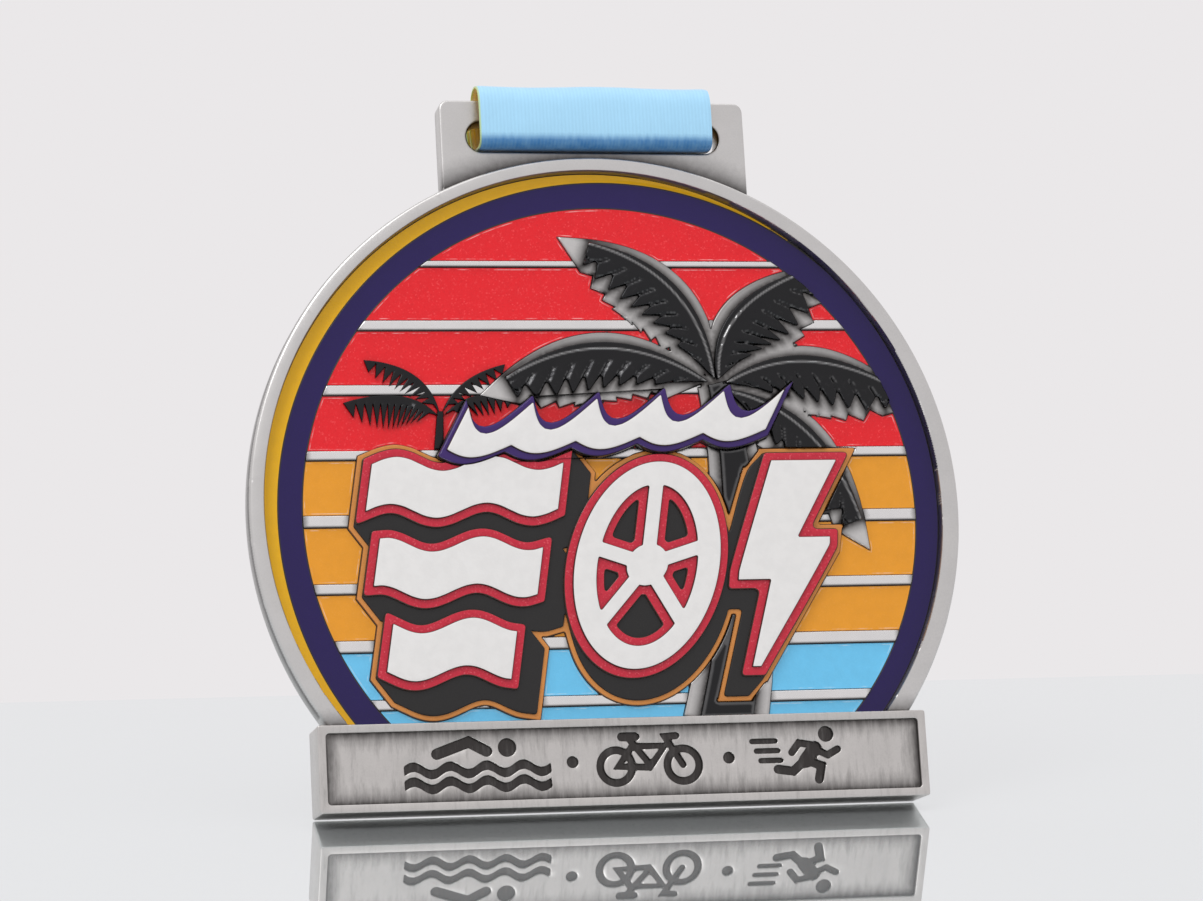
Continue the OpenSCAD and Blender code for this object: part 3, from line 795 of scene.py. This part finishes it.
def make_disc():
    """The disc with its rim, its recess and its slotted tab, and the shallow field on its back."""
    name = "cast_body"
    cast = silver("antique_silver", (0.63, 0.62, 0.61), blotch=0.05)
    step = 0.35
    tab_step, recess_depth, field_depth = 0.8, 2.4, 0.3
    rim_r, tab_r, wall_r, back_r = 0.42, 0.25, 0.15, 0.3
    brink = 0.5
    _, front, back = level_loops(name)
    recess = level_loops(name, front + recess_depth)[0]
    outline, field, slot_hole = sorted(level_loops(name, back)[0], key=lambda loop: -np.ptp(loop[:, 1]))
    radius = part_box(name)[1].x / MM
    turn = np.linspace(0, 2 * math.pi, 200, endpoint=False)
    circle = np.stack([radius * np.cos(turn), DISC_Z + radius * np.sin(turn)], 1)
    verts, tris, rounds, d = filled(
        [outline, slot_hole], (0.05, 0.12, 0.22, 0.4), 1.1, step,
        creases=[circle, *recess, field], crease_rings=(CREASE, 0.1, 0.22, 0.4),
    )
    on_disc = radius - np.hypot(verts[:, 0], verts[:, 1] - DISC_Z)
    in_recess = signed(verts, [resampled(loop, step) for loop in recess])
    in_field = signed(verts, [resampled(field, step)])
    slot_d = edge_distance(verts, rounds[1:])

    rim_y = front + step_down(-on_disc, tab_step, rim_r) + step_down(in_recess, recess_depth, wall_r)
    rim_y += rounded_edge(d, rim_r) * (on_disc > brink)
    tab_y = front + tab_step + rounded_edge(d, tab_r)
    front_y = np.where(on_disc < 0, tab_y, rim_y)
    at_brink = (on_disc >= 0) & (on_disc <= brink)
    front_y = np.where(at_brink, front + rounded_edge(on_disc - CREASE, rim_r), front_y)
    back_y = back - rounded_edge(d, back_r) - step_down(in_field, field_depth, wall_r)

    tab_dark = np.where(on_disc < 0, 0.92 * np.exp(-((np.maximum(-on_disc, 0) / 1.9) ** 1.2)), 0)
    wall_dark = np.where(in_recess > 0, 0.95, 0.45 * np.exp(-((in_recess / 0.16) ** 2)))
    slot_dark = 0.9 * np.exp(-((slot_d / 0.22) ** 2))
    foot = 0.7 * np.exp(-(((verts[:, 1] - outline[:, 1].min()) / 1.6) ** 1.5))
    dark = np.clip(np.maximum.reduce([tab_dark, wall_dark, slot_dark, foot]), 0, 1)
    back_dark = np.clip(0.25 + 0.6 * np.exp(-((in_field / 1.1) ** 2)) * (in_field > 0), 0, 1)
    made = closed_mesh("cast_disc", cast, verts, tris, front_y, back_y, {"dark": (dark, back_dark)})
    stands_for(made, name)


def make_bar():
    """The base bar with its sunk, brushed panel and the engraving in it."""
    name = "base_bar"
    brushed = silver("brushed_silver", (0.61, 0.59, 0.572), streaks=(1, 1, 0.16), blotch=0.17)
    step = 0.3
    panel_depth, mark_depth = 0.5, 0.5
    front_r, wall_r, back_r, corner_r = 0.16, 0.06, 0.3, 0.35
    _, front, back = level_loops(name)
    panel_y = front + panel_depth
    panel = [max(level_loops(name, panel_y)[0], key=lambda loop: np.ptp(loop[:, 0]))]
    marks = level_loops(name, panel_y + mark_depth)[0]
    low, high = (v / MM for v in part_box(name))
    corners = np.array([(low.x, low.z), (high.x, low.z), (high.x, high.z), (low.x, high.z)])
    verts, tris, _, d = filled(
        [softened(corners, corner_r)], (0.04, 0.09, 0.16, 0.3), 0.9, step,
        creases=panel + marks, crease_rings=(CREASE, 0.1),
    )
    in_panel = signed(verts, [resampled(loop, step) for loop in panel])
    in_marks = signed(verts, [resampled(loop, step) for loop in marks])

    front_y = front + rounded_edge(d, front_r) + step_down(in_panel, panel_depth, wall_r)
    front_y += step_down(in_marks, mark_depth, wall_r) * (in_panel > 0)
    back_y = back - rounded_edge(d, back_r)

    panel_dark = 0.95 * np.exp(-((np.maximum(in_panel, 0) / 1.25) ** 1.1)) * (in_panel > 0)
    dark = np.maximum(panel_dark, np.where(in_marks > 0, 1.05, 0))
    values = {"dark": (dark, np.full(len(d), 0.1))}
    made = closed_mesh("base_bar_cast", brushed, verts, tris, front_y, back_y, values)
    stands_for(made, name)


# ---------- ribbon ----------

RIBBON_T = 0.42
BLUE = (0.41, 0.73, 0.97)
DEEP_BLUE = (0.020, 0.16, 0.42)
YELLOW = (0.98, 0.56, 0.015)


def box_mm(name):
    """The low and high corner of a CAD node's box, in mm."""
    return (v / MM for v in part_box(name))


def satin(name, colour, deep, fade):
    """Printed satin tape: warp ribs along it, fine weft across it, a yellow inner side and a soft
    sheen. Its colour fades from colour to deep over the values in fade of the mesh's "along"."""
    mat, tree, bsdf = new_material(name)
    along, across = attribute(tree, "along"), attribute(tree, "across")
    tone = mix(tree, remap(tree, along, *fade), colour, deep)
    tone = mix(tree, attribute(tree, "inner"), tone, YELLOW)
    rib = math_node(tree, "MULTIPLY", wave(tree, across, 0.46), 0.6)
    weft = math_node(tree, "MULTIPLY", wave(tree, along, 0.34), 0.4)
    weave = math_node(tree, "ADD", rib, weft)
    cloudy = noise(tree, 900, 3, 0.6, (1, 1, 0.35))
    tone = mix(tree, remap(tree, weave, -1.0, 0.6, 0.16, 0, smooth=False), tone, scaled(colour, 0.55))
    tone = mix(tree, remap(tree, cloudy, 0.3, 0.7, 0, 0.22, smooth=False), tone, scaled(colour, 0.8))
    selvedge = remap(tree, across, 0.12, 0.22, 0.7, 0)
    tone = mix(tree, selvedge, tone, (0.50, 0.62, 0.10))
    tree.links.new(tone, bsdf.inputs["Base Color"])
    bsdf.inputs["Roughness"].default_value = 0.42
    bsdf.inputs["Specular IOR Level"].default_value = 0.3
    bsdf.inputs["Sheen Weight"].default_value = 0.25
    bsdf.inputs["Sheen Roughness"].default_value = 0.4
    bump(tree, bsdf, weave, 0.35, 0.03)
    return mat


def normals(path, closed):
    """Unit vectors to the right of a path's run."""
    run = np.roll(path, -1, 0) - np.roll(path, 1, 0) if closed else np.gradient(path, axis=0)
    run /= np.hypot(run[:, 0], run[:, 1])[:, None]
    return np.stack([run[:, 1], -run[:, 0]], 1)


def tape(name, mat, path, thick, low, high, columns, closed=False, upright=False, warp=None):
    """A flat tape with real thickness and its length: a (y, z) path swept along X from low to high, or,
    upright, an (x, y) path swept along Z. warp moves its points."""
    path = np.asarray(path, float)
    side = normals(path, closed)
    along = np.concatenate([[0], np.cumsum(np.hypot(*np.diff(path, axis=0).T))])
    n = len(path)
    bevel = 0.3
    verts, inner, across, length = [], [], [], []
    for layer, sign in enumerate((1, -1)):
        face = path + sign * thick / 2 * side
        for q in np.linspace(low, high, columns):
            slim = 1 - 0.5 * max(0.0, 1 - min(q - low, high - q) / bevel) ** 2
            ring = path + (face - path) * slim
            level = np.full((n, 1), q)
            verts.append(np.hstack([ring, level] if upright else [level, ring]))
            inner.append(np.full(n, float(layer)))
            across.append(np.full(n, q - low))
            length.append(along)
    verts = np.concatenate(verts)
    if warp:
        verts = warp(verts)

    def at(layer, column, i):
        return (layer * columns + column) * n + i % n

    far = columns - 1
    faces = []
    for i in range(n if closed else n - 1):
        for c in range(far):
            faces.append((at(0, c, i), at(0, c, i + 1), at(0, c + 1, i + 1), at(0, c + 1, i)))
            faces.append((at(1, c, i), at(1, c + 1, i), at(1, c + 1, i + 1), at(1, c, i + 1)))
        faces.append((at(0, 0, i), at(1, 0, i), at(1, 0, i + 1), at(0, 0, i + 1)))
        faces.append((at(0, far, i), at(0, far, i + 1), at(1, far, i + 1), at(1, far, i)))
    if not closed:
        for c in range(far):
            faces.append((at(0, c, 0), at(0, c + 1, 0), at(1, c + 1, 0), at(1, c, 0)))
            faces.append((at(0, c, n - 1), at(1, c, n - 1), at(1, c + 1, n - 1), at(0, c + 1, n - 1)))
    made = mesh_object(name, verts, faces, mat, sharp=75)
    for key, value in (("inner", inner), ("across", across), ("along", length)):
        add_value(made, key, np.concatenate(value))
    return made, float(along[-1] + (np.hypot(*(path[0] - path[-1])) if closed else 0))


def smoothed(points, steps):
    """A closed Catmull-Rom curve through the points."""
    points = np.asarray(points, float)
    out = []
    for i in range(len(points)):
        a, b, c, d = (points[(i + k) % len(points)] for k in (-1, 0, 1, 2))
        square, cube = 2 * a - 5 * b + 4 * c - d, 3 * b - a - 3 * c + d
        for t in np.linspace(0, 1, steps, endpoint=False):
            out.append(0.5 * (2 * b + (c - a) * t + square * t**2 + cube * t**3))
    return np.array(out)


def half_turn(count):
    """Angles of a half turn, without its ends."""
    return np.linspace(0, math.pi, count)[1:-1]


def folded(piece, cad, body):
    """A folded piece of the 30 mm ribbon takes the place of its CAD node, on its body."""
    stands_for(piece, cad, body)


def make_wrap():
    """The ribbon's loop round the hanger bar. Its colour deepens to dark blue where it turns under the bar.
    """
    low, high = box_mm("ribbon_wrap")
    loop = [
        (2.6, 89.5), (1.75, 90.9), (0.0, 91.38), (-1.75, 90.85), (-2.75, 89.4), (-2.98, 87.0), (-2.85, 84.6),
        (-2.4, 83.55), (-1.0, 83.3), (1.2, 83.6), (2.9, 84.4), (3.5, 85.6), (3.76, 87.0), (3.2, 88.3),
    ]

    def warp(verts):
        """The front stands off a little unevenly, and the top sags."""
        x, y, z = verts.T
        front = np.clip((-y) / 3, 0, 1)
        lift = 0.10 * np.sin(0.42 * x + 0.5) * np.sin((z - 83.3) / 7.9 * math.pi)
        lift = lift + 0.05 * np.sin(1.3 * x + 0.6 * z)
        top = np.clip((z - 88.5) / 3, 0, 1)
        sag = 0.10 * np.sin(0.33 * x + 1.0)
        return np.stack([x, y + lift * front, z + sag * top], 1)

    mat = satin("satin_ribbon", BLUE, DEEP_BLUE, (0.0, 1.0))
    path = smoothed(loop, 10)
    piece, length = tape("ribbon_loop", mat, path, RIBBON_T, low.x, high.x, 61, closed=True, warp=warp)
    x, _, z = np.array([v.co[:] for v in piece.data.vertices]).T / MM
    ribs = 0.10 * np.sin(2 * math.pi * x / 0.92) * np.sin(0.7 * x)
    under = np.clip((84.95 + ribs - z) / 1.25, 0, 1)
    piece.data.attributes["along"].data.foreach_set("value", under.astype(np.float32))
    folded(piece, "ribbon_wrap", "medal")


def hank_path():
    """The doubled tape's path through the fold, from the hanger down and back up to it."""
    low, high = box_mm("ribbon_hank")
    rng = np.random.default_rng(7)
    runs, depth = 14, 7.6
    pitch = depth / runs
    centre = [(4.5, high.z), (4.48, high.z - 0.7), (4.0, high.z - 2.4), (low.y + pitch, high.z - 4.0)]
    last = runs // 2 - 1
    for j in range(last + 1):
        y = low.y + pitch * (2 * j + 1)
        short = rng.uniform(0.2, 1.9)
        down = j % 2 == 0
        # The first turn at the top stays lower, so that it clears the tape which comes down from the hanger.
        top = high.z - pitch - 0.3 - short - (1.4 if j == 1 else 0)
        end = low.z + pitch + short if down else top
        start = centre[-1][1]
        for t in np.linspace(0.08, 1, 22):
            centre.append((y, start + (end - start) * t))
        if j == last:
            break
        way = -1 if down else 1
        for a in np.linspace(0, math.pi, 9)[1:]:
            centre.append((y + pitch * (1 - math.cos(a)), end + way * math.sin(a) * pitch))
    centre = np.array(centre)
    side = normals(centre, False)
    near, far = centre + side * pitch / 2, centre - side * pitch / 2
    tip, axis = centre[-1], side[-1]
    ahead = np.array([-axis[1], axis[0]])
    if (centre[-1] - centre[-2]) @ ahead < 0:
        ahead = -ahead
    turn = [tip + axis * pitch / 2 * math.cos(a) + ahead * pitch / 2 * math.sin(a) for a in half_turn(8)]
    return np.concatenate([near, turn, far[::-1]])


def settled(verts):
    """The soft shape of the folded tape: it bows and spreads away from the band that holds it."""
    low, high = box_mm("ribbon_hank")
    tie_low, tie_high = box_mm("hank_tie")
    x, y, z = np.asarray(verts, float).T
    loose = np.clip((np.abs(z - (tie_low.z + tie_high.z) / 2) - 4) / 10, 0, 1)
    loose = loose * loose * (3 - 2 * loose)
    near_top = np.clip((high.z - z) / 5, 0, 1)
    bow = 0.25 * np.sin(0.19 * x + 0.13 * z) + 0.11 * np.sin(0.5 * x - 0.21 * z + 2)
    spread = 0.06 * (y - (low.y + high.y) / 2) * loose
    skew = 0.5 * np.sin(0.9 * (y - low.y) + 1.0) * loose
    return np.stack([x + skew * near_top, y + (bow + spread) * loose * near_top, z], 1)


def make_hank():
    """The ribbon's unseen length, folded up behind the disc."""
    low, high = box_mm("ribbon_hank")
    mat = satin("satin_ribbon_fold", BLUE, DEEP_BLUE, (160.0, 420.0))
    piece, length = tape("ribbon_fold", mat, hank_path(), RIBBON_T, low.x, high.x, 17, warp=settled)
    folded(piece, "ribbon_hank", "ribbon")


def make_lead():
    """The two layers between the loop and the fold, joined over their top. Yellow faces the tab."""
    low, high = box_mm("ribbon_lead")
    y, bottom, top = (low.y + high.y) / 2, low.z, high.z - 0.55
    gap = 0.275
    up = [(y - gap, z) for z in np.linspace(bottom, top, 8)]
    over = [(y - gap * math.cos(a), top + gap * math.sin(a)) for a in half_turn(9)]
    down = [(y + gap, z) for _, z in reversed(up)]

    def askew(verts):
        return verts - np.outer(0.35 * np.clip((verts[:, 2] - bottom) / 5, 0, 1), (1, 0, 0))

    mat = satin("satin_ribbon_lead", BLUE, BLUE, (0.0, 1.0))
    path = up + over + down
    piece, length = tape("ribbon_layers", mat, path, RIBBON_T, low.x, high.x, 31, warp=askew)
    front = [float(v.co.y / MM < y - gap) for v in piece.data.vertices]
    piece.data.attributes["inner"].data.foreach_set("value", front)
    folded(piece, "ribbon_lead", "ribbon")


def knitted(name):
    """Knitted elastic: rows of small knots, pale grey."""
    mat, tree, bsdf = new_material(name)
    rows = wave(tree, attribute(tree, "across"), 0.75)
    knots = wave(tree, attribute(tree, "along"), 0.6)
    weave = math_node(tree, "MULTIPLY", rows, knots)
    tone = mix(tree, remap(tree, weave, -1, 1, 0, 1, smooth=False), (0.50, 0.52, 0.54), (0.80, 0.82, 0.84))
    cloudy = remap(tree, noise(tree, 1100), 0.3, 0.7, 0, 0.4, smooth=False)
    tone = mix(tree, cloudy, tone, (0.66, 0.68, 0.72))
    tree.links.new(tone, bsdf.inputs["Base Color"])
    bsdf.inputs["Roughness"].default_value = 0.75
    bsdf.inputs["Sheen Weight"].default_value = 0.3
    bump(tree, bsdf, weave, 0.6, 0.06)
    return mat


def make_tie():
    """The elastic band round the fold, 6 mm wide. 6 mm wide; a sheet's flat width is declared as 10
    mm or more.
    """
    low, high = box_mm("hank_tie")
    thick, r, wide, declared_wide = 0.5, 1.1, 6.0, 10.0
    corners = [(low.x, low.y), (high.x, low.y), (high.x, high.y), (low.x, high.y)]
    path = []
    for k, (cx, cy) in enumerate(corners):
        ix = (r + thick / 2) * (1 if cx == low.x else -1)
        iy = (r + thick / 2) * (1 if cy == low.y else -1)
        for a in np.linspace(0, math.pi / 2, 6):
            turn = math.pi + k * math.pi / 2 + a
            path.append((cx + ix + r * math.cos(turn), cy + iy + r * math.sin(turn)))
    path = resampled(np.array(path), 1.2, math.radians(60))
    mat = knitted("tie_band")
    piece, length = tape("tie_loop", mat, path, thick, low.z, high.z, 13, closed=True, upright=True)
    stands_for(piece, "hank_tie", "ribbon")


def add_stitch(verts, faces, start, end, top):
    """One stitch: a bead of thread from start to end, half sunk in the tape whose surface is at Y level
    top."""
    start, end = np.array(start), np.array(end)
    run = (end - start) / np.hypot(*(end - start))
    out = np.array([-run[1], run[0]])
    base, sides = len(verts), 6
    spots = ((0.0, 0.05), (0.15, 0.13), (0.5, 0.16), (0.85, 0.13), (1.0, 0.05))
    for t, r in spots:
        mid = start + (end - start) * t
        for a in np.linspace(0, 2 * math.pi, sides, endpoint=False):
            spot = mid + out * r * math.cos(a)
            verts.append((spot[0], top + r * math.sin(a) * 0.8, spot[1]))
    far = base + sides * (len(spots) - 1)
    for first in range(base, far, sides):
        for i in range(sides):
            a, b = first + i, first + (i + 1) % sides
            faces.append((a, b, b + sides, a + sides))
    faces.append(tuple(base + i for i in reversed(range(sides))))
    faces.append(tuple(far + i for i in range(sides)))


def make_seam():
    """The lap where the ribbon's ends meet, with its box stitch."""
    low, high = box_mm("ribbon_seam")
    y = (low.y + high.y) / 2
    path = [(y, z) for z in np.linspace(low.z, high.z, 25)]
    mat = satin("satin_ribbon_lap", DEEP_BLUE, DEEP_BLUE, (0.0, 1.0))
    lap, length = tape("ribbon_lap", mat, path, RIBBON_T, low.x, high.x, 31, warp=settled)

    thread, tree, bsdf = new_material("seam_thread")
    twist = remap(tree, noise(tree, 4000, 2, 0.6, (1, 1, 3)), 0.3, 0.7, 0, 1)
    tree.links.new(mix(tree, twist, (0.10, 0.24, 0.42), (0.24, 0.44, 0.66)), bsdf.inputs["Base Color"])
    bsdf.inputs["Roughness"].default_value = 0.6
    verts, faces = [], []
    side_gap, end_gap, pitch, pause = 2, 1.6, 1.5, 0.12
    left, right, bottom, top = low.x + side_gap, high.x - side_gap, low.z + end_gap, high.z - end_gap
    corners = np.array([(left, bottom), (right, bottom), (right, top), (left, top)])
    for j, k in ((0, 1), (1, 2), (2, 3), (3, 0), (0, 2), (1, 3)):
        a, span = corners[j], corners[k] - corners[j]
        count = max(2, int(np.hypot(*span) / pitch))
        for i in range(count):
            ends = (a + span * (i + pause) / count, a + span * (i + 1 - pause) / count)
            add_stitch(verts, faces, *ends, high.y - 0.03)
    stitches = mesh_object("lap_stitches", settled(verts), faces, thread)
    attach(stitches, "ribbon")
    stands_for(lap, "ribbon_seam", "ribbon")


make_camera()
make_light()
make_floor()
make_enamels()
make_emblems()
make_palms()
make_stripes()
make_disc()
make_bar()
make_wrap()
make_hank()
make_lead()
make_tie()
make_seam()
